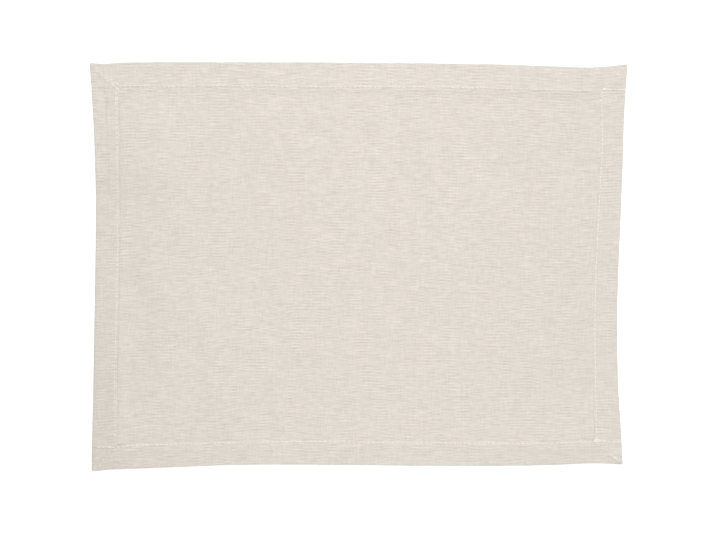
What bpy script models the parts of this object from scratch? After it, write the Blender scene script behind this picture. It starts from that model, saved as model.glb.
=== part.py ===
"""A cloth placemat lying flat: one piece of plain-woven cloth with a hem all round.

The hem is turned over twice to the upper side, mitred at the corners and stitched
near its inner fold. Cloth and hem are one solid. Metres, +Z up, +X along the long
side, the origin at the middle of the underside.
"""

import math
from collections import namedtuple

import bmesh
import bpy

MM = 0.001

# Driving sizes
LENGTH = 460 * MM              # finished, before the sides bow
WIDTH = 350 * MM
PANEL_THICKNESS = 1.0 * MM
TWO_LAYERS = 1.6 * MM          # outer half of the hem: the cloth and what is turned over
THREE_LAYERS = 2.2 * MM        # inner half: with the raw edge turned in under it
LONG_SIDE_HEM = 22.4 * MM      # outer edge to inner fold
SHORT_SIDE_HEM = 21.5 * MM
TURNED_IN = 10 * MM            # how far the raw edge reaches back from the inner fold
SEAM_FROM_FOLD = 2.2 * MM      # inner fold to the stitching
SEAM_DIP = 0.35 * MM
EDGE_ROUND = 0.8 * MM
FOLD_RUN = 0.8 * MM            # the inner fold comes down over this width
MITRE_DEPTH = 0.5 * MM
CORNER_CUT = 0.8 * MM          # how far a corner's tip is drawn in each way
HEM_STRIPS = 6                 # between the edge and the seam
PANEL_MARGIN = 10 * MM         # first strip of the panel, beside the hem
PANEL_STEP = 19 * MM           # widest strip of the panel

# The four sides bow in and out. Each row: where along the side (from its middle,
# +X or +Y), and how far out the edge lies from the straight side.
SideRow = namedtuple("SideRow", "along out")
LEFT_SIDE = (
    SideRow(-175 * MM, 2.6 * MM),
    SideRow(-125 * MM, 1.5 * MM),
    SideRow(-70 * MM, 0.7 * MM),
    SideRow(0 * MM, -0.5 * MM),
    SideRow(75 * MM, -1.1 * MM),
    SideRow(110 * MM, -0.2 * MM),
    SideRow(145 * MM, 2.1 * MM),
    SideRow(175 * MM, 4.3 * MM),
)
RIGHT_SIDE = (
    SideRow(-175 * MM, -0.4 * MM),
    SideRow(-145 * MM, -1.9 * MM),
    SideRow(-110 * MM, -4.1 * MM),
    SideRow(-60 * MM, -5.2 * MM),
    SideRow(-15 * MM, -4.5 * MM),
    SideRow(40 * MM, -2.2 * MM),
    SideRow(85 * MM, -0.5 * MM),
    SideRow(130 * MM, 0.9 * MM),
    SideRow(175 * MM, 4.3 * MM),
)
TOP_SIDE = (
    SideRow(-230 * MM, 2.9 * MM),
    SideRow(-217 * MM, 2.2 * MM),
    SideRow(-200 * MM, 3.4 * MM),
    SideRow(-100 * MM, 3.6 * MM),
    SideRow(0 * MM, 3.3 * MM),
    SideRow(120 * MM, 1.8 * MM),
    SideRow(165 * MM, 0.1 * MM),
    SideRow(200 * MM, -1.0 * MM),
    SideRow(230 * MM, 0.8 * MM),
)
BOTTOM_SIDE = (
    SideRow(-230 * MM, 3.4 * MM),
    SideRow(-212 * MM, 0.8 * MM),
    SideRow(-155 * MM, -1.2 * MM),
    SideRow(-110 * MM, -3.0 * MM),
    SideRow(-60 * MM, -3.3 * MM),
    SideRow(50 * MM, -2.3 * MM),
    SideRow(125 * MM, -2.2 * MM),
    SideRow(165 * MM, -2.9 * MM),
    SideRow(200 * MM, -4.5 * MM),
    SideRow(218 * MM, -4.2 * MM),
    SideRow(230 * MM, -2.4 * MM),
)

# Where the cloth doesn't lie quite flat: soft mounds, as centre, reach along their
# own two directions to where they are flat again, heading of the first, and height.
Rise = namedtuple("Rise", "x y reach_along reach_across heading lift")
RISES = {
    "upper left corner": Rise(-190 * MM, 118 * MM, 125 * MM, 88 * MM, 0, 1.7 * MM),
    "left seam": Rise(-205 * MM, -100 * MM, 85 * MM, 32 * MM, 90, 0.9 * MM),
    "lower left corner": Rise(-188 * MM, -150 * MM, 70 * MM, 45 * MM, 20, 1.2 * MM),
    "lower right hem": Rise(196 * MM, -152 * MM, 60 * MM, 30 * MM, -25, 0.9 * MM),
    "upper right hem": Rise(190 * MM, 168 * MM, 65 * MM, 28 * MM, 8, 0.8 * MM),
    "lower edge": Rise(-60 * MM, -168 * MM, 75 * MM, 26 * MM, 0, 0.7 * MM),
}

CLOTH_COLOUR = (0.766, 0.714, 0.644, 1.0)
CLOTH_ROUGHNESS = 0.95


def clear_scene():
    for thing in list(bpy.data.objects):
        bpy.data.objects.remove(thing, do_unlink=True)


def side_out(rows, along):
    """Read a side's table on a smooth curve through its rows."""
    rows_below = [k for k, row in enumerate(rows) if row.along <= along]
    k = min(max(len(rows_below) - 1, 0), len(rows) - 2)
    start, end = rows[k], rows[k + 1]
    before, after = rows[max(k - 1, 0)], rows[min(k + 2, len(rows) - 1)]
    span = end.along - start.along
    start_slope = (end.out - before.out) / (end.along - before.along)
    end_slope = (after.out - start.out) / (after.along - start.along)
    t = (along - start.along) / span
    return (
        (2 * t**3 - 3 * t**2 + 1) * start.out
        + (t**3 - 2 * t**2 + t) * span * start_slope
        + (3 * t**2 - 2 * t**3) * end.out
        + (t**3 - t**2) * span * end_slope
    )


def bowed(x, y):
    """Move a point of the straight rectangle to where the bowed sides put it."""
    to_right = x / LENGTH + 0.5
    to_top = y / WIDTH + 0.5
    out_x = side_out(RIGHT_SIDE, y) * to_right - side_out(LEFT_SIDE, y) * (1 - to_right)
    out_y = side_out(TOP_SIDE, x) * to_top - side_out(BOTTOM_SIDE, x) * (1 - to_top)
    return x + out_x, y + out_y


def lift_at(x, y):
    """Height of the soft mounds at a point."""
    total = 0.0
    for rise in RISES.values():
        turn = math.radians(rise.heading)
        dx, dy = x - rise.x, y - rise.y
        along = (dx * math.cos(turn) + dy * math.sin(turn)) / rise.reach_along
        across = (dy * math.cos(turn) - dx * math.sin(turn)) / rise.reach_across
        total += rise.lift * max(0.0, 1 - along**2 - across**2) ** 2
    return total


def hem_insets(hem_width):
    """How far in from the edge the lines lie that run round in the hem."""
    seam = hem_width - SEAM_FROM_FOLD
    strip = (seam - EDGE_ROUND) / HEM_STRIPS
    inner = [EDGE_ROUND + strip * k for k in range(HEM_STRIPS + 1)]
    return [0.0] + inner + [hem_width, hem_width + FOLD_RUN]


def hem_heights():
    """Underside and top of the cloth on the same lines."""
    heights = []
    for inset in hem_insets(SHORT_SIDE_HEM):
        raw_edge = SHORT_SIDE_HEM - TURNED_IN
        heights.append((0.0, TWO_LAYERS if inset < raw_edge else THREE_LAYERS))
    heights[0] = ((TWO_LAYERS - EDGE_ROUND) / 2, (TWO_LAYERS + EDGE_ROUND) / 2)
    heights[-3] = (0.0, THREE_LAYERS - SEAM_DIP)
    heights[-1] = (0.0, PANEL_THICKNESS)
    return heights


def grid_lines(half, insets):
    """Grid lines across the mat, from one edge to the other."""
    outer = [half - inset for inset in insets]
    panel = outer[-1] - PANEL_MARGIN
    steps = math.ceil(panel / PANEL_STEP)
    inner = [panel * step / steps for step in range(steps, 0, -1)]
    positive = outer + inner
    return [-value for value in positive] + [0.0] + positive[::-1]


def faces_at(line_x, line_y, heights):
    """Underside and top where two grid lines cross, counted from the edges."""
    line = min(line_x, line_y)
    if line >= len(heights):
        return 0.0, PANEL_THICKNESS
    under, top = heights[line]
    on_mitre = line_x == line_y and 1 < line < len(heights) - 1
    return under, top - MITRE_DEPTH if on_mitre else top


def cloth_mesh():
    heights = hem_heights()
    columns = grid_lines(LENGTH / 2, hem_insets(SHORT_SIDE_HEM))
    rows = grid_lines(WIDTH / 2, hem_insets(LONG_SIDE_HEM))
    tip = (len(columns) - 1, len(rows) - 1)

    shell = bmesh.new()
    under, top = {}, {}
    for i, x in enumerate(columns):
        for j, y in enumerate(rows):
            line_x, line_y = min(i, tip[0] - i), min(j, tip[1] - j)
            low, high = faces_at(line_x, line_y, heights)
            pull = CORNER_CUT if line_x == line_y == 0 else 0.0
            out_x, out_y = bowed(x, y)
            out_x -= math.copysign(pull, x)
            out_y -= math.copysign(pull, y)
            rise = lift_at(x, y)
            under[i, j] = shell.verts.new((out_x, out_y, low + rise))
            top[i, j] = shell.verts.new((out_x, out_y, high + rise))

    for i in range(tip[0]):
        for j in range(tip[1]):
            corners = [(i, j), (i + 1, j), (i + 1, j + 1), (i, j + 1)]
            # Each square is split towards the nearest corner of the mat, so that
            # the mitre's valley runs along edges.
            if (columns[i] < 0) != (rows[j] < 0):
                corners = corners[1:] + corners[:1]
            a, b, c, d = corners
            for triangle in ((a, b, c), (a, c, d)):
                shell.faces.new([top[key] for key in triangle])
                shell.faces.new([under[key] for key in reversed(triangle)])

    rim = [(i, 0) for i in range(tip[0])]
    rim += [(tip[0], j) for j in range(tip[1])]
    rim += [(i, tip[1]) for i in range(tip[0], 0, -1)]
    rim += [(0, j) for j in range(tip[1], 0, -1)]
    for here, after in zip(rim, rim[1:] + rim[:1]):
        shell.faces.new((under[here], under[after], top[after], top[here]))

    # The origin is the middle of the bowed outline.
    for axis in (0, 1):
        reach = [vert.co[axis] for vert in shell.verts]
        middle = (min(reach) + max(reach)) / 2
        for vert in shell.verts:
            vert.co[axis] -= middle

    mesh = bpy.data.meshes.new("placemat_cloth")
    shell.to_mesh(mesh)
    shell.free()
    mesh.shade_smooth()
    mesh.set_sharp_from_angle(angle=math.radians(40))
    return mesh


def cloth_material():
    material = bpy.data.materials.new("natural_woven_cloth")
    material.use_nodes = True
    surface = material.node_tree.nodes["Principled BSDF"]
    surface.inputs["Base Color"].default_value = CLOTH_COLOUR
    surface.inputs["Roughness"].default_value = CLOTH_ROUGHNESS
    surface.inputs["Metallic"].default_value = 0.0
    return material


def build_placemat():
    clear_scene()
    placemat = bpy.data.objects.new("placemat_cloth", cloth_mesh())
    placemat.data.materials.append(cloth_material())
    bpy.context.scene.collection.objects.link(placemat)


build_placemat()
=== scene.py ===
"""The looks of a hemmed cloth placemat that lies flat, seen from straight above.

The cloth is one thin woven sheet. Its four edges are turned over to the upper side and
turned in, meet in mitres at the corners, and are held by a line of lockstitch near the
inner fold. The sheet is built as its middle surface and then given its thickness.
Positions are first laid out on a straight rectangle, x along the long side and y along
the short one, and then moved to where the bowed sides of the real mat put them.
"""

import math
import random
from collections import namedtuple

import bmesh
import bpy
from mathutils import Matrix, Vector, noise
from mathutils.bvhtree import BVHTree
from mathutils.geometry import delaunay_2d_cdt


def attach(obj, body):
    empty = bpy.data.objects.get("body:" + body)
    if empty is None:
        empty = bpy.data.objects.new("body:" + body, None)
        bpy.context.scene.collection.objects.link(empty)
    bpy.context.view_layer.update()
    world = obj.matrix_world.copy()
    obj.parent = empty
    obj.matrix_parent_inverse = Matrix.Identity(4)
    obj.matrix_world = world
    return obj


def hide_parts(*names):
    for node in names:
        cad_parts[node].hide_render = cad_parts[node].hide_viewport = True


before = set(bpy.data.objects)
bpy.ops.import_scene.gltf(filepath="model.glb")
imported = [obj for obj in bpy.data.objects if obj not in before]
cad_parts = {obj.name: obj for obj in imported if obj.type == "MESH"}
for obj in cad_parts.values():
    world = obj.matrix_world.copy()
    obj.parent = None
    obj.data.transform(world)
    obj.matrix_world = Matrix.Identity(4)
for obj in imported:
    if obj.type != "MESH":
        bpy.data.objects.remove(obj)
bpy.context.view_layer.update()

NODE = "placemat_cloth"
WEAVE_MAP = "cloth_threads"    # places on the flat cut cloth, in metres
MM = 0.001

# The mat
LENGTH = 460 * MM              # finished, before the sides bow
WIDTH = 350 * MM
MIDDLE = (0.0, 0.3 * MM)       # of the solid's bowed outline, which is its origin
CORNER_RADIUS = 1.2 * MM

# The cloth and its layers in the hem
CLOTH = 0.32 * MM              # thickness
LAYER_GAP = 0.01 * MM
HEM_WIDTH = 21.5 * MM          # the width that the hem's section is drawn for
TURNED_IN = 10 * MM            # how far the raw edge reaches back from the inner fold
SEAM_FROM_FOLD = 1.8 * MM      # inner fold to the stitching
EDGE_RADIUS = 0.20 * MM        # outer fold, middle of the cloth
FOLD_RADIUS = 0.18 * MM        # inner fold
SEAM_DEPTH = HEM_WIDTH - SEAM_FROM_FOLD
EDGE_CENTRE = CLOTH / 2 + EDGE_RADIUS             # depth where the flap leaves the outer fold
FLAP_CREST = HEM_WIDTH - CLOTH / 2 - FOLD_RADIUS  # and where it turns down in the inner one

# The flap's own form
EDGE_OPENS = 1.5 * MM          # how soon behind the outer fold the flap stands open
STRIP_SLACK = 0.02 * MM        # the flap lies this loosely on the turned-in strip
STEP_RUN = 9 * MM              # it rises over the strip's raw edge on this run,
STEP_EASE = 5 * MM             # which is shorter by this much where the hem is pressed
SEAM_PINCH = 0.13 * MM         # how far the stitching draws the hem down
PINCH_REACH = 1.7 * MM
FOLD_PRESS = 0.07 * MM         # the inner fold is pressed lower than the seam
HOLE_DIMPLE = 0.15 * MM        # deeper at each needle hole
HOLE_REACH = 0.9 * MM
EDGE_FADE = 3 * MM             # puckers and mitres grow from the outer fold over this
PUCKER_HEIGHT = 0.07 * MM      # fine unevenness
PUCKER_LENGTH = 9 * MM         # along the hem, and across it
PUCKER_WIDTH = 12 * MM
PUCKER_SEED = 90
SEAM_CALM = 0.6                # the share of it that the seam takes away
SEAM_CALM_REACH = 2 * MM
MITRE_CALM_REACH = 3 * MM
PRESSED_ABOVE = 0.6            # a short side is pressed most beyond this share of its half,
PRESSED_BELOW = 0.25           # and has this much of it in its lower part

# The hem's corners
MITRE_VALLEY = 0.02 * MM
MITRE_REACH = 0.7 * MM
MITRE_BULK = 0.20 * MM         # more layers lie under a mitre
BULK_REACH = 7 * MM
MITRE_LAP = 0.28 * MM          # one flap stands up along the mitre
LAP_FROM_MITRE = 1.0 * MM
LAP_REACH = 2.2 * MM
CORNER_LIFT = 0.10 * MM        # how far the hem's outer half stands open at a mitre
CORNER_SETTLE = 14 * MM        # and how far from the mitre a side has its own

# The panel and the layer under the hem
SEAM_RAISE = 0.13 * MM         # the lower thread holds the underside off the table
RAISE_REACH = 1.6 * MM
UNDER_FOLD = 1.0 * MM          # how far out under the fold the gathered panel starts to rise
CREASE_FADE = 0.35             # the share of a crease that each of its ends fades over
WAVE_HEIGHT = 0.10 * MM        # slight waves all over
WAVE_LENGTH = (55 * MM, 40 * MM)
WAVE_SHARE = 0.15              # the more, the less of the mat lies flat between them
WAVE_SEED = 3.7
RIPPLE_HEIGHT = 0.16 * MM      # shorter ripples near the edges
RIPPLE_LENGTH = 17 * MM
RIPPLE_BAND = 34 * MM
RIPPLE_SEED = 8.1

# The stitching
STITCH = 4.2 * MM
THREAD_RADIUS = 0.38 * MM
THREAD_DIVE = 0.8 * MM         # how far it goes down at the needle holes
DIVE_SHARE = 0.32              # the share of a stitch over which it does
HOLE_SHARE = 0.02              # the share of a stitch that each hole takes
THREAD_SWAY = 0.09 * MM        # sideways, at most
PROUD_VARIES = 0.15            # in thread radii
PLY_TWIST = 1.5 * MM           # length of one turn of the two plies
PLY_DEPTH = 0.20               # of the groove between them, in thread radii
BOBBIN_RADIUS = 0.18 * MM      # of the lower thread
BOBBIN_SUNK = (0.1, 0.3)       # least and most, in its radii
STRAND_SPACING = 1.8           # between a corner stitch's strands, in thread radii
THREAD_SEED = 41

# How finely the meshes are divided
ARC_STEPS = 5                  # in a fold
FLAP_LINES = (1.0, 1.7, 2.8, 4.5, 6.5, 8.5, 9.8, 10.8, 11.6, 12.4, 13.4, 15.0, 16.8,
              18.0, 18.9)      # mm in from the edge
INNER_LINES = (0.5, 0.95)      # mm beyond the seam
STRIP_LINES = (3, 6)           # mm back from the inner fold, before the raw edge
MITRE_COLUMNS = (0.4, 0.9, 1.5, 2.8)    # mm from a mitre
PANEL_PITCH = 4.5 * MM
PANEL_MARGIN = 42 * MM         # from the mat's edge to the panel's even rows of points
WELD = 0.002 * MM              # points closer than this are one
THREAD_SIDES = 8
THREAD_STEPS = 16              # in a stitch
THREAD_TAPER = 2               # steps at each end that round it off
THREAD_TIP = 0.15              # least radius at an end, in thread radii

# Rings of points in the base sheet, closest under the inner fold: how far in from the
# edge in mm, and every how many of the hem's columns there is a point.
BaseRing = namedtuple("BaseRing", "depth every")
BASE_RINGS = (
    BaseRing(4, 3), BaseRing(8, 3), BaseRing(12, 3), BaseRing(15.5, 2),
    BaseRing(18, 1), BaseRing(19.7, 1), BaseRing(20.6, 1), BaseRing(21.1, 1),
    BaseRing(21.4, 1), BaseRing(21.7, 1), BaseRing(22.0, 1), BaseRing(22.4, 1),
    BaseRing(23.0, 1), BaseRing(24.0, 1), BaseRing(25.5, 1), BaseRing(27.5, 1),
    BaseRing(30, 1), BaseRing(32.5, 2), BaseRing(35.5, 2), BaseRing(39, 3),
)

# How far each edge lies out from the straight side, and how wide its hem is, at places
# along the side from its middle, +X or +Y.
SideRow = namedtuple("SideRow", "along out")
HemRow = namedtuple("HemRow", "along width")
LEFT_SIDE = (
    SideRow(-175 * MM, 2.6 * MM),
    SideRow(-125 * MM, 1.5 * MM),
    SideRow(-70 * MM, 0.7 * MM),
    SideRow(0 * MM, -0.5 * MM),
    SideRow(75 * MM, -1.1 * MM),
    SideRow(110 * MM, -0.2 * MM),
    SideRow(145 * MM, 2.1 * MM),
    SideRow(175 * MM, 4.3 * MM),
)
RIGHT_SIDE = (
    SideRow(-175 * MM, -0.4 * MM),
    SideRow(-145 * MM, -1.9 * MM),
    SideRow(-110 * MM, -4.1 * MM),
    SideRow(-60 * MM, -5.2 * MM),
    SideRow(-15 * MM, -4.5 * MM),
    SideRow(40 * MM, -2.2 * MM),
    SideRow(85 * MM, -0.5 * MM),
    SideRow(130 * MM, 0.9 * MM),
    SideRow(175 * MM, 3.8 * MM),
)
TOP_SIDE = (
    SideRow(-230 * MM, 2.9 * MM),
    SideRow(-217 * MM, 2.2 * MM),
    SideRow(-200 * MM, 3.4 * MM),
    SideRow(-100 * MM, 3.6 * MM),
    SideRow(0 * MM, 3.3 * MM),
    SideRow(120 * MM, 1.8 * MM),
    SideRow(165 * MM, 0.1 * MM),
    SideRow(200 * MM, -1.0 * MM),
    SideRow(230 * MM, 1.8 * MM),
)
BOTTOM_SIDE = (
    SideRow(-230 * MM, 2.6 * MM),
    SideRow(-212 * MM, 0.8 * MM),
    SideRow(-155 * MM, -1.2 * MM),
    SideRow(-110 * MM, -3.0 * MM),
    SideRow(-60 * MM, -3.3 * MM),
    SideRow(50 * MM, -2.3 * MM),
    SideRow(125 * MM, -2.2 * MM),
    SideRow(165 * MM, -2.9 * MM),
    SideRow(200 * MM, -4.5 * MM),
    SideRow(218 * MM, -4.2 * MM),
    SideRow(230 * MM, -3.4 * MM),
)
LEFT_HEM = (
    HemRow(-157 * MM, 22.3 * MM),
    HemRow(-133 * MM, 21.7 * MM),
    HemRow(-98 * MM, 20.7 * MM),
    HemRow(-40 * MM, 20.9 * MM),
    HemRow(10 * MM, 21.1 * MM),
    HemRow(76 * MM, 20.5 * MM),
    HemRow(110 * MM, 21.2 * MM),
    HemRow(145 * MM, 22.2 * MM),
    HemRow(158 * MM, 23.6 * MM),
)
RIGHT_HEM = (
    HemRow(-151 * MM, 23.6 * MM),
    HemRow(-133 * MM, 23.0 * MM),
    HemRow(-98 * MM, 21.8 * MM),
    HemRow(-29 * MM, 21.7 * MM),
    HemRow(41 * MM, 21.5 * MM),
    HemRow(76 * MM, 20.9 * MM),
    HemRow(110 * MM, 20.2 * MM),
    HemRow(145 * MM, 22.1 * MM),
    HemRow(157 * MM, 22.8 * MM),
)
TOP_HEM = (
    HemRow(-211 * MM, 22.1 * MM),
    HemRow(-164 * MM, 23.1 * MM),
    HemRow(-112 * MM, 22.7 * MM),
    HemRow(-33 * MM, 23.4 * MM),
    HemRow(19 * MM, 23.4 * MM),
    HemRow(60 * MM, 22.9 * MM),
    HemRow(140 * MM, 23.1 * MM),
    HemRow(202 * MM, 22.5 * MM),
    HemRow(212 * MM, 22.4 * MM),
)
BOTTOM_HEM = (
    HemRow(-212 * MM, 20.8 * MM),
    HemRow(-197 * MM, 22.0 * MM),
    HemRow(-138 * MM, 21.2 * MM),
    HemRow(-86 * MM, 21.4 * MM),
    HemRow(-33 * MM, 22.0 * MM),
    HemRow(19 * MM, 21.6 * MM),
    HemRow(97 * MM, 21.5 * MM),
    HemRow(149 * MM, 21.2 * MM),
    HemRow(176 * MM, 20.7 * MM),
    HemRow(209 * MM, 21.1 * MM),
)

# The four sides. Sign says whether a side lies towards + or -, across how far from the
# mat's middle, and half is half its length. Edge_lift is how far the hem's outer half
# stands open, drawn_in the share of the seam's pinch that shows, and thread_proud how far
# the thread stands out, in its radii. The gathered panel is raised by puff at
# puff_from_fold and comes down over puff_reach beyond it. Laps are the shares of the
# mitre's lap at the side's low and high ends.
Side = namedtuple(
    "Side",
    "runs_along_x sign half across bow hem edge_lift drawn_in thread_proud "
    "puff puff_from_fold puff_reach laps",
)
TOP = Side(
    runs_along_x=True, sign=1, half=LENGTH / 2, across=WIDTH / 2,
    bow=TOP_SIDE, hem=TOP_HEM,
    edge_lift=0.12 * MM, drawn_in=0.3, thread_proud=0.7,
    puff=0.68 * MM, puff_from_fold=0.0, puff_reach=3.0 * MM, laps=(0.0, 0.0),
)
RIGHT = Side(
    runs_along_x=False, sign=1, half=WIDTH / 2, across=LENGTH / 2,
    bow=RIGHT_SIDE, hem=RIGHT_HEM,
    edge_lift=0.06 * MM, drawn_in=1.0, thread_proud=0.05,
    puff=0.70 * MM, puff_from_fold=0.4 * MM, puff_reach=16 * MM, laps=(0.0, 0.4),
)
BOTTOM = Side(
    runs_along_x=True, sign=-1, half=LENGTH / 2, across=WIDTH / 2,
    bow=BOTTOM_SIDE, hem=BOTTOM_HEM,
    edge_lift=0.0, drawn_in=1.0, thread_proud=0.15,
    puff=0.41 * MM, puff_from_fold=0.9 * MM, puff_reach=16 * MM, laps=(0.0, 1.0),
)
LEFT = Side(
    runs_along_x=False, sign=-1, half=WIDTH / 2, across=LENGTH / 2,
    bow=LEFT_SIDE, hem=LEFT_HEM,
    edge_lift=0.40 * MM, drawn_in=1.0, thread_proud=-0.68,
    puff=0.50 * MM, puff_from_fold=0.9 * MM, puff_reach=7 * MM, laps=(0.4, 0.8),
)
SIDES = (TOP, RIGHT, BOTTOM, LEFT)

# Soft mounds, much as in the solid: centre, reach to where the cloth is flat again,
# heading of the first reach in degrees, and height.
Rise = namedtuple("Rise", "x y reach_along reach_across heading lift")
RISES = {
    "upper left corner": Rise(-190 * MM, 118 * MM, 125 * MM, 88 * MM, 0, 0.7 * MM),
    "left seam": Rise(-205 * MM, -100 * MM, 85 * MM, 32 * MM, 90, 0.9 * MM),
    "lower left corner": Rise(-188 * MM, -150 * MM, 70 * MM, 45 * MM, 20, 1.2 * MM),
    "lower right hem": Rise(196 * MM, -170 * MM, 62 * MM, 36 * MM, -8, 1.0 * MM),
    "upper right hem": Rise(190 * MM, 168 * MM, 65 * MM, 28 * MM, 8, 0.8 * MM),
    "lower edge": Rise(-105 * MM, -168 * MM, 75 * MM, 26 * MM, 0, 0.7 * MM),
}

# The main creases, as soft ridges and troughs: the line of the crest in mm, then how far the cloth
# takes to come down to the left of that line and to its right, and the height.
Crease = namedtuple("Crease", "crest left_reach right_reach height")
CREASES = {
    "upper left fall": Crease(
        ((-300, 86), (-230, 87), (-165, 81), (-115, 84)), 50 * MM, 18 * MM, 2.4 * MM),
    "trough by the upper left seam": Crease(
        ((-200.7, 152), (-200.7, 130), (-200.3, 100), (-199, 70), (-196, 35)),
        14 * MM, 3.0 * MM, -0.55 * MM),
    "upper left swell": Crease(
        ((-195, 176), (-196, 130), (-198, 30)), 22 * MM, 9 * MM, 1.65 * MM),
    "slanting fall below it": Crease(
        ((-200, 75), (-177, 60), (-160, 43), (-138, 22), (-126, -14)),
        30 * MM, 9 * MM, 0.6 * MM),
    "arc by the left seam": Crease(
        ((-198, 50), (-190, 10), (-181, -18), (-161, -38), (-105, -46)),
        45 * MM, 8 * MM, 0.95 * MM),
    "lower left fall": Crease(
        ((-262, -128), (-226, -151), (-206, -167), (-190, -200)),
        60 * MM, 12 * MM, 1.2 * MM),
    "lower left swell": Crease(
        ((-168, -10), (-167, -80), (-164, -160)), 75 * MM, 21 * MM, 2.1 * MM),
    "lower left hem": Crease(
        ((-206, -20), (-204, -90), (-203, -140), (-202, -200)),
        42 * MM, 13 * MM, 1.5 * MM),
    "tuck at the upper left seam's end": Crease(
        ((-227, 152.3), (-210, 152.3)), 3.2 * MM, 6 * MM, -0.36 * MM),
}

# Stitches that close the mitres and finish the seams at the corners: where each starts
# and ends on the mat in mm, how many strands lie side by side, and how far they stand
# proud.
CornerStitch = namedtuple("CornerStitch", "start end strands proud")
CORNER_STITCHES = (
    CornerStitch((-229.5, 174.0), (-226.9, 171.8), 1, 0.0),
    CornerStitch((-225.1, 170.3), (-222.5, 168.0), 1, -0.04 * MM),
    CornerStitch((-220.7, 166.5), (-218.7, 164.7), 1, -0.04 * MM),
    CornerStitch((-217.0, 163.2), (-215.1, 161.7), 1, 0.10 * MM),
    CornerStitch((-214.0, 158.8), (-208.3, 158.8), 2, 0.14 * MM),
    CornerStitch((223.8, 166.6), (226.0, 167.9), 2, 0.16 * MM),
    CornerStitch((217.5, 161.1), (213.4, 156.6), 1, 0.16 * MM),
    CornerStitch((210.8, 154.6), (216.6, 154.6), 2, 0.14 * MM),
    CornerStitch((212.0, 151.7), (213.9, 151.5), 1, 0.05 * MM),
    CornerStitch((-226.9, -174.1), (-224.4, -170.7), 1, 0.12 * MM),
    CornerStitch((-223.9, -170.0), (-221.4, -166.8), 1, 0.12 * MM),
    CornerStitch((-221.4, -156.5), (-213.8, -156.5), 2, 0.14 * MM),
    CornerStitch((220.6, -164.3), (225.9, -168.5), 2, 0.18 * MM),
    CornerStitch((203.8, -150.9), (210.7, -151.1), 3, 0.10 * MM),
    CornerStitch((210.8, -153.6), (212.6, -154.9), 1, 0.08 * MM),
)


# ---------------------------------------------------------------- the mat's outline


def read_curve(rows, along):
    """Read a table of (place along the side, value) on a smooth curve."""
    places = [row[0] for row in rows]
    along = min(max(along, places[0]), places[-1])
    k = max(sum(place <= along for place in places) - 1, 0)
    k = min(k, len(rows) - 2)
    (start, low), (end, high) = rows[k], rows[k + 1]
    before, after = rows[max(k - 1, 0)], rows[min(k + 2, len(rows) - 1)]
    span = end - start
    low_slope = (high - before[1]) / (end - before[0]) * span
    high_slope = (after[1] - low) / (after[0] - start) * span
    t = (along - start) / span
    return (
        (2 * t**3 - 3 * t**2 + 1) * low
        + (t**3 - 2 * t**2 + t) * low_slope
        + (3 * t**2 - 2 * t**3) * high
        + (t**3 - t**2) * high_slope
    )


def rounded_corner(x, y):
    """Round the rectangle's corners."""
    past_x = abs(x) - (LENGTH / 2 - CORNER_RADIUS)
    past_y = abs(y) - (WIDTH / 2 - CORNER_RADIUS)
    if past_x <= 0 or past_y <= 0:
        return x, y
    shrink = max(past_x, past_y) / math.hypot(past_x, past_y)
    return (
        math.copysign(abs(x) - past_x * (1 - shrink), x),
        math.copysign(abs(y) - past_y * (1 - shrink), y),
    )


def on_mat(x, y):
    """Where a point of the straight rectangle lies on the mat, whose sides bow."""
    x, y = rounded_corner(x, y)
    to_right = x / LENGTH + 0.5
    to_top = y / WIDTH + 0.5
    out_x = read_curve(RIGHT.bow, y) * to_right - read_curve(LEFT.bow, y) * (1 - to_right)
    out_y = read_curve(TOP.bow, x) * to_top - read_curve(BOTTOM.bow, x) * (1 - to_top)
    return x + out_x - MIDDLE[0], y + out_y - MIDDLE[1]


def side_point(side, along, across):
    """A point given along a side and across it, as x and y."""
    return (along, across) if side.runs_along_x else (across, along)


def place_along(side, point):
    """How far along a side a point lies."""
    return point[0] if side.runs_along_x else point[1]


def neighbours(side):
    """The sides that meet this one at its low and its high end."""
    return (LEFT, RIGHT) if side.runs_along_x else (BOTTOM, TOP)


def end_width(side, at):
    """Hem width of a side at the corner where it meets side at."""
    return side.hem[0 if at.sign < 0 else -1].width


def flap_point(side, t, depth):
    """A point of the hem, t from 0 to 1 between its mitres. Depth is how far in from the
    edge it would lie in a hem of HEM_WIDTH."""
    share = depth / HEM_WIDTH
    low, high = neighbours(side)
    first, last = side.hem[0].along, side.hem[-1].along
    width = read_curve(side.hem, first + (last - first) * t)
    start = -side.half + share * end_width(low, side)
    end = side.half - share * end_width(high, side)
    along = start + (end - start) * t
    return side_point(side, along, side.sign * (side.across - share * width))


# ---------------------------------------------------------------- heights


def smooth(t):
    """From 0 to 1 as t does, level at both ends."""
    t = min(max(t, 0.0), 1.0)
    return t * t * (3 - 2 * t)


def bell(distance, reach):
    """From 1 at no distance down to nearly 0 at twice the reach."""
    return math.exp(-((distance / reach) ** 2))


def crease_height(crease, x, y):
    """Height of one crease at a point."""
    place = Vector((x, y))
    corners = [Vector(corner) * MM for corner in crease.crest]
    offset, reached, passed = math.inf, 0.0, 0.0
    for before, after in zip(corners, corners[1:]):
        length = (after - before).length
        ahead = (after - before) / length
        along = min(max((place - before).dot(ahead), 0.0), length)
        away = place - before - ahead * along
        if away.length < abs(offset):
            offset = math.copysign(away.length, ahead.cross(away))
            reached = passed + along
        passed += length
    reach = crease.left_reach if offset > 0 else crease.right_reach
    share = reached / passed
    fade = smooth(min(share, 1 - share) / CREASE_FADE)
    return crease.height * bell(offset, reach) * fade


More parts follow.
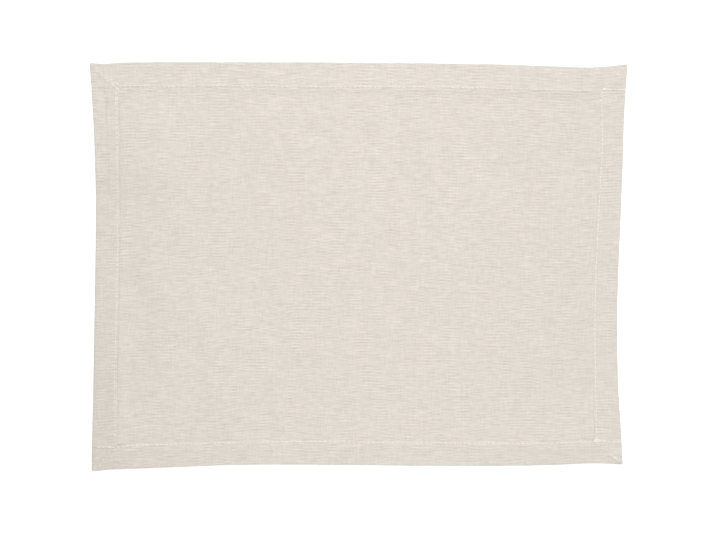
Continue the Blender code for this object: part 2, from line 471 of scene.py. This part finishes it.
def rise_height(rise, x, y):
    """Height of one soft mound at a point."""
    turn = math.radians(rise.heading)
    dx, dy = x - rise.x, y - rise.y
    along = (dx * math.cos(turn) + dy * math.sin(turn)) / rise.reach_along
    across = (dy * math.cos(turn) - dx * math.sin(turn)) / rise.reach_across
    return rise.lift * max(0.0, 1 - along**2 - across**2) ** 2


def bed(x, y):
    """Height of the cloth's underside over the table, without the stitching's part."""
    total = sum(rise_height(rise, x, y) for rise in RISES.values())
    total += sum(crease_height(crease, x, y) for crease in CREASES.values())
    waves = noise.noise(Vector((x / WAVE_LENGTH[0], y / WAVE_LENGTH[1], WAVE_SEED)))
    total += WAVE_HEIGHT * max(0.0, waves + WAVE_SHARE)
    edge = min(LENGTH / 2 - abs(x), WIDTH / 2 - abs(y))
    ripple = noise.noise(Vector((x / RIPPLE_LENGTH, y / RIPPLE_LENGTH, RIPPLE_SEED)))
    total += RIPPLE_HEIGHT * max(0.0, ripple) * (1 - smooth(edge / RIPPLE_BAND))
    return max(total, 0.0)


def base_height(x, y, gathered=True):
    """Middle of the cloth in the panel and under the hem. The stitching gathers the
    panel, which stands up beside the inner fold and presses into it. The flap rests on
    the cloth as it would lie if it weren't gathered."""
    puff, clear, inside = 0.0, 1.0, math.inf
    near = ((RIGHT if x > 0 else LEFT, y, abs(x)), (TOP if y > 0 else BOTTOM, x, abs(y)))
    for side, along, out in near:
        share = (side.across - out) / read_curve(side.hem, along)
        from_fold = (share - 1) * HEM_WIDTH
        past = max(from_fold - side.puff_from_fold, 0.0)
        puff = max(puff, side.puff * bell(past, side.puff_reach))
        rise = smooth((from_fold + UNDER_FOLD) / (side.puff_from_fold + UNDER_FOLD))
        clear, inside = min(clear, rise), min(inside, from_fold)
    raised = SEAM_RAISE * bell(inside + SEAM_FROM_FOLD, RAISE_REACH)
    if gathered:
        raised = max(raised, puff * clear)
    return CLOTH / 2 + bed(x, y) + raised


def flap_height(depth, edge_lift=0.0, pressed=0.0, drawn_in=1.0):
    """Middle of the turned-over layer above the middle of the bottom one: its outer half
    may stand a little open, and it rises over the turned-in raw edge, which shows more
    where the hem is pressed, from 0 to 1."""
    outer = 2 * EDGE_RADIUS + edge_lift * (1 - math.exp((EDGE_CENTRE - depth) / EDGE_OPENS))
    inner = 2 * (CLOTH + LAYER_GAP) + STRIP_SLACK
    raw_edge = HEM_WIDTH - TURNED_IN
    step = smooth((depth - raw_edge) / (STEP_RUN - STEP_EASE * pressed) + 0.5)
    pinch = SEAM_PINCH * bell(depth - SEAM_DEPTH, PINCH_REACH)
    press = FOLD_PRESS * smooth((depth - SEAM_DEPTH) / SEAM_FROM_FOLD)
    return outer + (inner - outer) * step - (pinch + press) * drawn_in


# The hem's section, from the outer fold to the raw edge: lines that run along the hem, at
# a depth in from the edge and a height over the middle of the bottom layer.
HemLine = namedtuple("HemLine", "depth height layer")
OUTER_FOLD, FLAP, INNER_FOLD, STRIP = range(4)


def hem_section():
    """The section's lines, in the order that the cloth runs."""
    lines = []
    for step in range(ARC_STEPS):
        turn = math.pi * step / ARC_STEPS
        depth = EDGE_CENTRE - EDGE_RADIUS * math.sin(turn)
        lines.append(HemLine(depth, EDGE_RADIUS * (1 - math.cos(turn)), OUTER_FOLD))
    flap = [EDGE_CENTRE, *(depth * MM for depth in FLAP_LINES), SEAM_DEPTH]
    flap += [SEAM_DEPTH + beyond * MM for beyond in INNER_LINES] + [FLAP_CREST]
    lines += [HemLine(depth, flap_height(depth), FLAP) for depth in flap]
    top = flap_height(FLAP_CREST)
    for step in range(1, ARC_STEPS + 1):
        turn = math.pi * step / ARC_STEPS
        depth = FLAP_CREST + FOLD_RADIUS * math.sin(turn)
        lines.append(HemLine(depth, top - FOLD_RADIUS * (1 - math.cos(turn)), INNER_FOLD))
    strip = [back * MM for back in STRIP_LINES] + [TURNED_IN]
    lines += [HemLine(HEM_WIDTH - back, CLOTH + LAYER_GAP, STRIP) for back in strip]
    return lines


def hem_pressed(side, along):
    """How much a hem is pressed, from 0 to 1: the short sides, most in their upper halves."""
    if side.runs_along_x:
        return 0.0
    upper = 1 - smooth(PRESSED_ABOVE - along / side.half)
    return PRESSED_BELOW + (1 - PRESSED_BELOW) * upper


def mitre_height(side, from_ends):
    """The extra layers along the mitres, the valley between the two flaps, and the one
    that laps up."""
    from_mitre = min(from_ends)
    height = MITRE_BULK * bell(from_mitre, BULK_REACH)
    height -= MITRE_VALLEY * bell(from_mitre, MITRE_REACH)
    for share, away in zip(side.laps, from_ends):
        beyond = max(away - LAP_FROM_MITRE, 0.0)
        height += share * MITRE_LAP * bell(beyond, LAP_REACH) * smooth(away / LAP_FROM_MITRE)
    return height


def pucker_height(side, along, depth, from_mitre):
    """Fine unevenness of the flap, less by the seam and none on the mitres."""
    place = Vector((along / PUCKER_LENGTH, depth / PUCKER_WIDTH, side.half * PUCKER_SEED))
    by_seam = 1 - SEAM_CALM * bell(depth - SEAM_DEPTH, SEAM_CALM_REACH)
    by_mitre = 1 - bell(from_mitre, MITRE_CALM_REACH)
    return PUCKER_HEIGHT * noise.noise(place) * by_seam * by_mitre


def own_section(side, along, depth, from_mitre):
    """What sets a side's flap apart from the section. At the mitres the sides agree."""
    pressed, settled = hem_pressed(side, along), smooth(from_mitre / CORNER_SETTLE)
    edge_lift = CORNER_LIFT + (side.edge_lift * (1 - pressed) - CORNER_LIFT) * settled
    drawn_in = 1 + (side.drawn_in - 1) * settled
    depth = min(depth, FLAP_CREST)
    own = flap_height(depth, edge_lift, pressed * settled, drawn_in)
    return own - flap_height(depth)


def hem_detail(side, t, line, stitches):
    """What a point of the hem adds to the section's height."""
    if line.layer in (OUTER_FOLD, STRIP):
        return 0.0
    along, low, high = (place_along(side, flap_point(side, at, line.depth)) for at in (t, 0, 1))
    from_ends = [abs(along - end) * math.sqrt(0.5) for end in (low, high)]
    from_mitre = min(from_ends)
    detail = mitre_height(side, from_ends) + pucker_height(side, along, line.depth, from_mitre)
    detail *= smooth(line.depth / EDGE_FADE)
    if line.layer == FLAP:
        hole = 0.5 + 0.5 * math.cos(2 * math.pi * t * stitches)
        detail -= HOLE_DIMPLE * hole * bell(line.depth - SEAM_DEPTH, HOLE_REACH)
    return detail + own_section(side, along, line.depth, from_mitre)


# ---------------------------------------------------------------- the cloth


def columns_of(side):
    """Places between the mitres, closer by the mitres, and the number of stitches. Each
    second one of the even places is a needle hole."""
    low, high = neighbours(side)
    ends = end_width(low, side) + end_width(high, side)
    run = 2 * side.half - SEAM_DEPTH / HEM_WIDTH * ends
    stitches = round(run / STITCH)
    even = [k / (2 * stitches) for k in range(2 * stitches + 1)]
    extra = [near * MM / run for near in MITRE_COLUMNS]
    places = sorted(set(even + extra + [1 - place for place in extra]))
    return places, stitches


def weave_place(side, along, line):
    """Where a point of the hem lies on the cut cloth. The flap and the strip are cut on
    beyond the outer fold, so the weave runs on round the hem."""
    beyond = {
        OUTER_FOLD: 0.0,
        FLAP: line.depth,
        INNER_FOLD: line.depth,
        STRIP: 2 * HEM_WIDTH - line.depth,
    }
    return side_point(side, along, side.sign * (side.across + beyond[line.layer]))


def add_face(shell, corners):
    """A face from (vertex, place on the cut cloth) pairs."""
    weave = shell.loops.layers.uv[WEAVE_MAP]
    face = shell.faces.new([vert for vert, _ in corners])
    for loop, (_, place) in zip(face.loops, corners):
        loop[weave].uv = place


def add_hem(shell, side):
    """One side's hem, from the outer fold to the raw edge."""
    places, stitches = columns_of(side)
    grid = []
    for line in hem_section():
        row = []
        for t in places:
            x, y = flap_point(side, t, line.depth)
            z = base_height(x, y, gathered=False) + line.height
            z += hem_detail(side, t, line, stitches)
            vert = shell.verts.new((*on_mat(x, y), z))
            row.append((vert, weave_place(side, place_along(side, (x, y)), line)))
        grid.append(row)
    for lower, upper in zip(grid, grid[1:]):
        for k in range(len(lower) - 1):
            add_face(shell, (lower[k], lower[k + 1], upper[k + 1], upper[k]))


def ring(depth, every):
    """Points once round the mat, depth in from the edge, at every so many columns."""
    points = []
    for side in SIDES:
        places, _ = columns_of(side)
        clockwise = places if side in (TOP, LEFT) else places[::-1]
        points += [flap_point(side, t, depth) for t in clockwise[:-1:every]]
    return points


def panel_points():
    """The panel's points, in rows that are shifted by half a step in turn."""
    span_x, span_y = LENGTH - 2 * PANEL_MARGIN, WIDTH - 2 * PANEL_MARGIN
    count_x, count_y = round(span_x / PANEL_PITCH), round(span_y / PANEL_PITCH)
    points = []
    for i in range(count_x + 1):
        for j in range(count_y + 1):
            shift = 0.5 * (j % 2) * (i < count_x)
            x = span_x * ((i + shift) / count_x - 0.5)
            points.append((x, span_y * (j / count_y - 0.5)))
    return points


def add_base(shell):
    """The panel and the layer under the hem, as one triangulated sheet."""
    edge = ring(hem_section()[0].depth, 1)
    points = list(edge)
    for row in BASE_RINGS:
        points += ring(row.depth * MM, row.every)
    points += panel_points()
    loop = [(k, (k + 1) % len(edge)) for k in range(len(edge))]
    flat = [Vector(point) / MM for point in points]
    only_inside, closeness = 1, 1e-4
    spots, _, faces, _, _, _ = delaunay_2d_cdt(flat, loop, [], only_inside, closeness)
    corners = []
    for spot in spots:
        x, y = spot.x * MM, spot.y * MM
        vert = shell.verts.new((*on_mat(x, y), base_height(x, y)))
        corners.append((vert, (x, y)))
    for face in faces:
        add_face(shell, [corners[k] for k in face])


def cloth_piece():
    """The whole sheet with its hem, as one piece."""
    shell = bmesh.new()
    shell.loops.layers.uv.new(WEAVE_MAP)
    add_base(shell)
    for side in SIDES:
        add_hem(shell, side)
    bmesh.ops.remove_doubles(shell, verts=shell.verts, dist=WELD)
    bmesh.ops.recalc_face_normals(shell, faces=shell.faces)
    mesh = bpy.data.meshes.new("placemat_sheet")
    shell.to_mesh(mesh)
    shell.free()
    piece = bpy.data.objects.new("placemat_sheet", mesh)
    bpy.context.scene.collection.objects.link(piece)
    thickness = piece.modifiers.new("thickness", "SOLIDIFY")
    thickness.thickness = CLOTH
    thickness.offset = 0.0
    thickness.use_even_offset = False
    settle(piece)
    return piece


def settle(piece):
    """Replace a piece's mesh with what its modifiers make of it."""
    bpy.context.view_layer.update()
    evaluated = piece.evaluated_get(bpy.context.evaluated_depsgraph_get())
    piece.data = bpy.data.meshes.new_from_object(evaluated)
    piece.modifiers.clear()
    piece.data.shade_smooth()


# ---------------------------------------------------------------- the stitching


class ThreadMesh:
    """Short lengths of two-ply thread, joined in one mesh."""

    def __init__(self, name, radius):
        self.name, self.radius = name, radius
        self.verts, self.faces = [], []

    def add(self, path, phase):
        start = len(self.verts)
        travelled = 0.0
        for k, point in enumerate(path):
            ahead = path[min(k + 1, len(path) - 1)] - path[max(k - 1, 0)]
            ahead.normalize()
            across = ahead.cross(Vector((0, 0, 1))).normalized()
            up = across.cross(ahead)
            if k:
                travelled += (point - path[k - 1]).length
            from_end = min(min(k, len(path) - 1 - k) / THREAD_TAPER, 1.0)
            taper = max(math.sqrt(1 - (1 - from_end) ** 2), THREAD_TIP)
            twist = 2 * math.pi * travelled / PLY_TWIST + phase
            for corner in range(THREAD_SIDES):
                turn = 2 * math.pi * corner / THREAD_SIDES
                lobes = 1 - PLY_DEPTH * (0.5 - 0.5 * math.cos(2 * (turn - twist)))
                offset = across * math.cos(turn) + up * math.sin(turn)
                self.verts.append(point + offset * (self.radius * lobes * taper))
        for k in range(len(path) - 1):
            here = start + k * THREAD_SIDES
            for corner in range(THREAD_SIDES):
                a, b = here + corner, here + (corner + 1) % THREAD_SIDES
                self.faces.append((b, a, a + THREAD_SIDES, b + THREAD_SIDES))
        last = start + (len(path) - 1) * THREAD_SIDES
        self.faces.append(tuple(range(start, start + THREAD_SIDES)))
        self.faces.append(tuple(range(last + THREAD_SIDES - 1, last - 1, -1)))

    def piece(self):
        mesh = bpy.data.meshes.new(self.name)
        mesh.from_pydata(self.verts, [], self.faces)
        mesh.shade_smooth()
        piece = bpy.data.objects.new(self.name, mesh)
        bpy.context.scene.collection.objects.link(piece)
        return piece


def surface_of(piece):
    """A lookup of the piece's height, seen from above or from below."""
    shell = bmesh.new()
    shell.from_mesh(piece.data)
    tree = BVHTree.FromBMesh(shell)
    shell.free()
    clear_of_piece = 20 * MM

    def height(x, y, from_above):
        side = 1 if from_above else -1
        hit, _, _, _ = tree.ray_cast((x, y, side * clear_of_piece), (0, 0, -side))
        return hit.z if hit else 0.0

    return height


def seam_holes(side):
    """Needle holes along a side's seam. A long side's seam runs out to the edges."""
    _, stitches = columns_of(side)
    seam = [flap_point(side, k / stitches, SEAM_DEPTH) for k in range(stitches + 1)]
    holes = [on_mat(*point) for point in seam]
    if side.runs_along_x:
        for end in (1, -1):
            x, y = holes[-1]
            edge = abs(on_mat(end * LENGTH / 2, y)[0])
            while abs(x) < edge - STITCH:
                x += end * STITCH
                holes.append((x, y))
            holes.reverse()
    return holes


def stitch_path(start, end, height, from_above, proud, rng):
    """A thread from one needle hole to the next, over the cloth or under it."""
    sway = rng.uniform(-THREAD_SWAY, THREAD_SWAY)
    direction = Vector((end[0] - start[0], end[1] - start[1]))
    sideways = Vector((-direction.y, direction.x)).normalized()
    path = []
    for k in range(THREAD_STEPS + 1):
        share = HOLE_SHARE + (1 - 2 * HOLE_SHARE) * k / THREAD_STEPS
        out = math.sin(math.pi * share)
        x = start[0] + direction.x * share + sideways.x * sway * out
        y = start[1] + direction.y * share + sideways.y * sway * out
        over = smooth(min(share, 1 - share) / DIVE_SHARE)
        z = height(x, y, from_above)
        clear = proud * over - THREAD_DIVE * (1 - over)
        path.append(Vector((x, y, z + clear if from_above else z - clear)))
    return path


def stitching(cloth):
    """The seam's upper and lower threads and the stitches at the corners."""
    height = surface_of(cloth)
    rng = random.Random(THREAD_SEED)
    upper = ThreadMesh("seam_thread", THREAD_RADIUS)
    lower = ThreadMesh("seam_thread_under", BOBBIN_RADIUS)

    for side in SIDES:
        holes = seam_holes(side)
        for start, end in zip(holes, holes[1:]):
            varied = side.thread_proud + rng.uniform(-PROUD_VARIES, PROUD_VARIES)
            phase = rng.uniform(0, 2 * math.pi)
            path = stitch_path(start, end, height, True, THREAD_RADIUS * varied, rng)
            upper.add(path, phase)
            sunk = BOBBIN_RADIUS * rng.uniform(*BOBBIN_SUNK)
            lower.add(stitch_path(start, end, height, False, -sunk, rng), phase)

    for row in CORNER_STITCHES:
        start, end = Vector(row.start) * MM, Vector(row.end) * MM
        ahead = (end - start).normalized()
        aside = Vector((-ahead.y, ahead.x)) * STRAND_SPACING * THREAD_RADIUS
        for strand in range(row.strands):
            shift = aside * (strand - (row.strands - 1) / 2)
            phase = rng.uniform(0, 2 * math.pi)
            path = stitch_path(start + shift, end + shift, height, True, row.proud, rng)
            upper.add(path, phase)
    return upper.piece(), lower.piece()


# ---------------------------------------------------------------- materials


class Nodes:
    """A material's nodes, with sums written as calls."""

    def __init__(self, name):
        self.material = bpy.data.materials.new(name)
        self.material.use_nodes = True
        self.tree = self.material.node_tree
        self.surface = self.tree.nodes["Principled BSDF"]

    def put(self, socket, value):
        if isinstance(value, bpy.types.NodeSocket):
            self.tree.links.new(value, socket)
        else:
            socket.default_value = value

    def finish(self, colour, **settings):
        """The surface's colour and its other inputs, named with underscores."""
        self.put(self.surface.inputs["Base Color"], colour)
        for name, value in settings.items():
            self.surface.inputs[name.replace("_", " ")].default_value = value

    def math(self, operation, *values):
        node = self.tree.nodes.new("ShaderNodeMath")
        node.operation = operation
        for socket, value in zip(node.inputs, values):
            self.put(socket, value)
        return node.outputs[0]

    def add(self, a, b):
        return self.math("ADD", a, b)

    def less(self, a, b):
        return self.math("SUBTRACT", a, b)

    def times(self, a, b):
        return self.math("MULTIPLY", a, b)

    def scaled(self, a, factor, offset):
        """A value times a factor, plus an offset."""
        return self.math("MULTIPLY_ADD", a, factor, offset)

    def over(self, a, length):
        """A distance in units of a length."""
        return self.times(a, 1 / length)

    def split(self, vector):
        node = self.tree.nodes.new("ShaderNodeSeparateXYZ")
        self.put(node.inputs[0], vector)
        return node.outputs[0], node.outputs[1], node.outputs[2]

    def point(self, x, y, z):
        node = self.tree.nodes.new("ShaderNodeCombineXYZ")
        for socket, value in zip(node.inputs, (x, y, z)):
            self.put(socket, value)
        return node.outputs[0]

    def noise(self, x, y, z=0.0, detail=1.0):
        """Noise about zero, from about -1 to 1. Z may be a seed."""
        node = self.tree.nodes.new("ShaderNodeTexNoise")
        node.inputs["Scale"].default_value = 1.0
        node.inputs["Detail"].default_value = detail
        self.put(node.inputs["Vector"], self.point(x, y, z))
        return self.scaled(node.outputs["Fac"], 4.0, -2.0)

    def map_place(self, name):
        node = self.tree.nodes.new("ShaderNodeUVMap")
        node.uv_map = name
        return node.outputs[0]

    def place(self):
        return self.tree.nodes.new("ShaderNodeTexCoord").outputs["Object"]

    def tint(self, colour, tone):
        """The colour times a tone."""
        node = self.tree.nodes.new("ShaderNodeVectorMath")
        node.operation = "SCALE"
        node.inputs[0].default_value = colour
        self.put(node.inputs["Scale"], tone)
        return node.outputs[0]

    def bump(self, height, distance):
        node = self.tree.nodes.new("ShaderNodeBump")
        node.inputs["Strength"].default_value = 1.0
        node.inputs["Distance"].default_value = distance
        self.put(node.inputs["Height"], height)
        self.put(self.surface.inputs["Normal"], node.outputs[0])


CLOTH_COLOUR = (0.702, 0.652, 0.588)
THREAD_COLOUR = (0.87, 0.835, 0.78)

# The weave. Warp runs along Y and weft along X. Tones are shares of the cloth's colour.
WARP_PITCH = 0.60 * MM
WEFT_PITCH = 0.645 * MM
WANDER = 0.22                  # how far a yarn leaves its line, in pitches
WANDER_ALONG = 0.055           # waves of that for each yarn crossed, along it and across
WANDER_ACROSS = 0.11
YARN_ROUND = 0.75              # how much lower a yarn's sides are, in bump heights
UNDER_SHADE = (0.4, 0.3)       # weft and warp tone left where the other yarn is on top
GAP_SHADE = 0.10               # darker in the gaps between yarns
GAP_TOP = 0.2                  # yarns higher than this are equally light
YARN_BUMP = 0.10 * MM
SLUB_BUMP = 0.35               # slubs in the bump, as a share of it

# Thicker and thinner stretches of yarn: how long, and how strong in tone.
Slubs = namedtuple("Slubs", "length tone")
WEFT_SLUBS = Slubs(8.5 * MM, 0.148)
WEFT_BANDS = Slubs(16 * MM, 0.008)
WARP_SLUBS = Slubs(8 * MM, 0.088)
BUMP_SLUB_LENGTH = 5 * MM
WEFT_APART = 3.17              # noise between one yarn and the next, so that they differ
WARP_APART = 3.61

# Fine lines along the weft, which drift and fade.
PICKS_PER_LINE = 4             # every fourth pick is a touch darker
LINE_TONE = 0.012
LINE_VARIES = 0.078
LINE_FADE = (10 * MM, 40 * MM)      # how soon that changes, along the line and across
LINE_DRIFT = 0.8                    # in radians
LINE_DRIFT_LENGTH = (14 * MM, 60 * MM)

# A little darker on the outer fold, painted shade there with a little soiling, and faint slanting
# streaks.
FOLD_SHADE_AND_WEAR_TONE = -0.015
FOLD_SHADE_AND_WEAR_REACH = 0.9 * MM
STREAK_TONE = 0.008
STREAK_LENGTH = 75 * MM
STREAK_WIDTH = 13 * MM

SEEDS = {
    "weft wander": 1.7,
    "warp wander": 5.3,
    "weft slubs": 0.3,
    "weft bands": 9.1,
    "warp slubs": 4.4,
    "line drift": 2.2,
    "line fade": 6.6,
    "streaks": 7.9,
    "bump slubs": 3.3,
}


def yarn_height(n, along_it, index, across_it, sign):
    """Height of a yarn that goes over and under the ones it crosses. Places are counted
    in yarns, and sign says which set this is."""
    wave = n.math("COSINE", n.times(n.less(along_it, n.add(index, 0.5)), math.pi))
    centred = n.scaled(n.math("FRACT", across_it), 2.0, -1.0)
    round_off = n.times(n.times(centred, centred), -YARN_ROUND)
    return n.scaled(wave, 0.5 * sign, round_off)


def weft_lines(n, across, along, v):
    """Tone of the fine lines along the weft."""
    drift_x, drift_y = LINE_DRIFT_LENGTH
    fade_x, fade_y = LINE_FADE
    drift = n.noise(n.over(across, drift_x), n.over(along, drift_y), SEEDS["line drift"])
    fade = n.noise(n.over(across, fade_x), n.over(along, fade_y), SEEDS["line fade"])
    turn = n.add(n.times(v, 2 * math.pi / PICKS_PER_LINE), n.times(drift, LINE_DRIFT))
    return n.times(n.math("COSINE", turn), n.scaled(fade, LINE_VARIES, LINE_TONE))


def fold_shade_and_wear(n, across, along):
    """Tone of the outer fold: painted shade where it turns down, with a little soiling."""
    past_x = n.math("ABSOLUTE", n.less(n.math("ABSOLUTE", across), LENGTH / 2))
    past_y = n.math("ABSOLUTE", n.less(n.math("ABSOLUTE", along), WIDTH / 2))
    past = n.math("DIVIDE", n.math("MINIMUM", past_x, past_y), FOLD_SHADE_AND_WEAR_REACH)
    return n.times(n.math("EXPONENT", n.times(n.times(past, past), -1.0)), FOLD_SHADE_AND_WEAR_TONE)


def slanting_streaks(n, across, along):
    """Tone of the faint streaks."""
    down_slant = n.over(n.less(across, along), STREAK_LENGTH)
    across_slant = n.over(n.add(across, along), STREAK_WIDTH)
    return n.times(n.noise(down_slant, across_slant, SEEDS["streaks"]), STREAK_TONE)


def woven_cloth():
    """Plain weave of slubby yarn, drawn on the cloth's own cut rectangle."""
    n = Nodes("natural_woven_cloth")
    across, along, _ = n.split(n.map_place(WEAVE_MAP))

    # Places in yarns, which wander.
    u = n.math("DIVIDE", across, WARP_PITCH)
    v = n.math("DIVIDE", along, WEFT_PITCH)
    weft_wander = n.noise(
        n.times(u, WANDER_ALONG), n.times(v, WANDER_ACROSS), SEEDS["weft wander"], 2.0)
    warp_wander = n.noise(
        n.times(u, WANDER_ACROSS), n.times(v, WANDER_ALONG), SEEDS["warp wander"], 2.0)
    v = n.add(v, n.times(weft_wander, WANDER))
    u = n.add(u, n.times(warp_wander, WANDER))
    warp, weft = n.math("FLOOR", u), n.math("FLOOR", v)

    # Height of the two yarns where they cross, and which one is on top.
    warp_height = yarn_height(n, v, warp, u, 1)
    weft_height = yarn_height(n, u, weft, v, -1)
    height = n.math("MAXIMUM", warp_height, weft_height)
    warp_on_top = n.math("GREATER_THAN", warp_height, weft_height)

    # Tone of each yarn, from slubs along it.
    weft_row, warp_row = n.times(weft, WEFT_APART), n.times(warp, WARP_APART)
    weft_slubs = n.noise(
        n.over(across, WEFT_SLUBS.length), weft_row, SEEDS["weft slubs"], 2.0)
    weft_bands = n.noise(n.over(across, WEFT_BANDS.length), weft_row, SEEDS["weft bands"])
    warp_slubs = n.noise(
        warp_row, n.over(along, WARP_SLUBS.length), SEEDS["warp slubs"], 2.0)
    weft_tone = n.add(
        n.times(weft_slubs, WEFT_SLUBS.tone), n.times(weft_bands, WEFT_BANDS.tone))
    warp_tone = n.times(warp_slubs, WARP_SLUBS.tone)
    weft_left, warp_left = UNDER_SHADE
    weft_share = n.scaled(warp_on_top, weft_left - 1, 1.0)
    warp_share = n.scaled(warp_on_top, 1 - warp_left, warp_left)
    tone = n.add(n.times(weft_tone, weft_share), n.times(warp_tone, warp_share))

    tone = n.add(tone, weft_lines(n, across, along, v))
    # painted shade along the outer fold, with a little soiling
    tone = n.add(tone, fold_shade_and_wear(n, across, along))
    tone = n.add(tone, slanting_streaks(n, across, along))
    tone = n.add(tone, n.times(n.math("MINIMUM", height, GAP_TOP), GAP_SHADE))
    n.finish(
        n.tint(CLOTH_COLOUR, n.add(tone, 1.0)),
        Roughness=0.92, Specular_IOR_Level=0.25, Sheen_Weight=0.12, Sheen_Roughness=0.5,
    )
    slub = n.noise(n.over(across, BUMP_SLUB_LENGTH), weft_row, SEEDS["bump slubs"])
    n.bump(n.scaled(slub, SLUB_BUMP, height), YARN_BUMP)
    return n.material


FIBRE_SIZE = 0.3 * MM
FIBRE_TONE = 0.04
FIBRE_BUMP = 0.02 * MM


def sewing_thread():
    """Off-white thread with fine fibres."""
    n = Nodes("off_white_sewing_thread")
    x, y, z = (n.over(place, FIBRE_SIZE) for place in n.split(n.place()))
    fibre = n.noise(x, y, z, 2.0)
    n.finish(
        n.tint(THREAD_COLOUR, n.scaled(fibre, FIBRE_TONE, 1.0)),
        Roughness=0.6, Sheen_Weight=0.1,
    )
    n.bump(fibre, FIBRE_BUMP)
    return n.material


# ---------------------------------------------------------------- the studio

CAMERA_LENS = 85
CAMERA_SENSOR = 36
VIEW_WIDTH = 0.6231            # what the picture is wide at the mat's surface
VIEW_CENTRE = (-0.00086, -0.00266)
MAT_TOP = 0.6 * MM

FLOOR_REACH = 4.0
FLOOR_DROP = 0.02 * MM         # under the mat's underside
FLOOR_COLOUR = (0.93, 0.93, 0.93)
FLOOR_GRAIN = 0.004            # in tone
GRAIN_SIZE = 1 / 3             # in metres
FLOOR_GLOW = 0.27
WORLD_LIGHT = 0.315

# Area lights that face the mat: size along and across, power in watts, and turn in
# degrees about the line to the mat.
Light = namedtuple("Light", "name place size power turn")
LIGHTS = (
    Light("key", (2.5, 2.6, 1.6), (1.4, 1.4), 50.0, 0),
    Light("overhead", (0.03, 0.10, 1.08), (0.4, 3.0), 16.1, 23),
)


def pale_floor():
    """Nearly white, without a gloss, and lit a little from within."""
    n = Nodes("pale_floor")
    x, _, _ = n.split(n.place())
    grain = n.noise(n.over(x, GRAIN_SIZE), 0.0)
    n.finish(
        n.tint(FLOOR_COLOUR, n.scaled(grain, FLOOR_GRAIN, 1.0)),
        Roughness=0.9, Specular_IOR_Level=0.0,
        Emission_Color=(1, 1, 1, 1), Emission_Strength=FLOOR_GLOW,
    )
    return n.material


def studio():
    """The floor, the even light from all round, and the lamps."""
    floor_mesh = bpy.data.meshes.new("floor")
    corners = [(x * FLOOR_REACH, y * FLOOR_REACH, 0) for x, y in ((-1, -1), (1, -1), (1, 1), (-1, 1))]
    floor_mesh.from_pydata(corners, [], [(0, 1, 2, 3)])
    floor_mesh.materials.append(pale_floor())
    floor = bpy.data.objects.new("floor", floor_mesh)
    floor.location.z = -FLOOR_DROP
    bpy.context.scene.collection.objects.link(floor)

    world = bpy.data.worlds.new("studio")
    world.use_nodes = True
    background = world.node_tree.nodes["Background"]
    background.inputs["Color"].default_value = (1.0, 1.0, 1.0, 1.0)
    background.inputs["Strength"].default_value = WORLD_LIGHT
    bpy.context.scene.world = world

    for row in LIGHTS:
        area_light(row)


def area_light(row):
    """A rectangular lamp that faces the mat."""
    data = bpy.data.lights.new(row.name, "AREA")
    data.shape = "RECTANGLE"
    data.size, data.size_y = row.size
    data.energy = row.power
    light = bpy.data.objects.new(row.name, data)
    light.location = row.place
    aim = (-Vector(row.place)).to_track_quat("-Z", "Y").to_matrix()
    turned = aim @ Matrix.Rotation(math.radians(row.turn), 3, "Z")
    light.rotation_euler = turned.to_euler()
    bpy.context.scene.collection.objects.link(light)


def camera():
    """Straight above the mat, looking down."""
    data = bpy.data.cameras.new("camera")
    data.lens = CAMERA_LENS
    data.sensor_width = CAMERA_SENSOR
    view = bpy.data.objects.new("camera", data)
    distance = VIEW_WIDTH * CAMERA_LENS / CAMERA_SENSOR
    view.location = (*VIEW_CENTRE, MAT_TOP + distance)
    bpy.context.scene.collection.objects.link(view)
    bpy.context.scene.camera = view
    bpy.context.scene.view_settings.view_transform = "Standard"


# ---------------------------------------------------------------- the object

camera()
studio()

cloth = cloth_piece()
cloth.data.materials.append(woven_cloth())
threads = stitching(cloth)
thread_material = sewing_thread()
for piece in threads:
    piece.data.materials.append(thread_material)

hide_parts(NODE)
for piece in (cloth, *threads):
    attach(piece, "root")
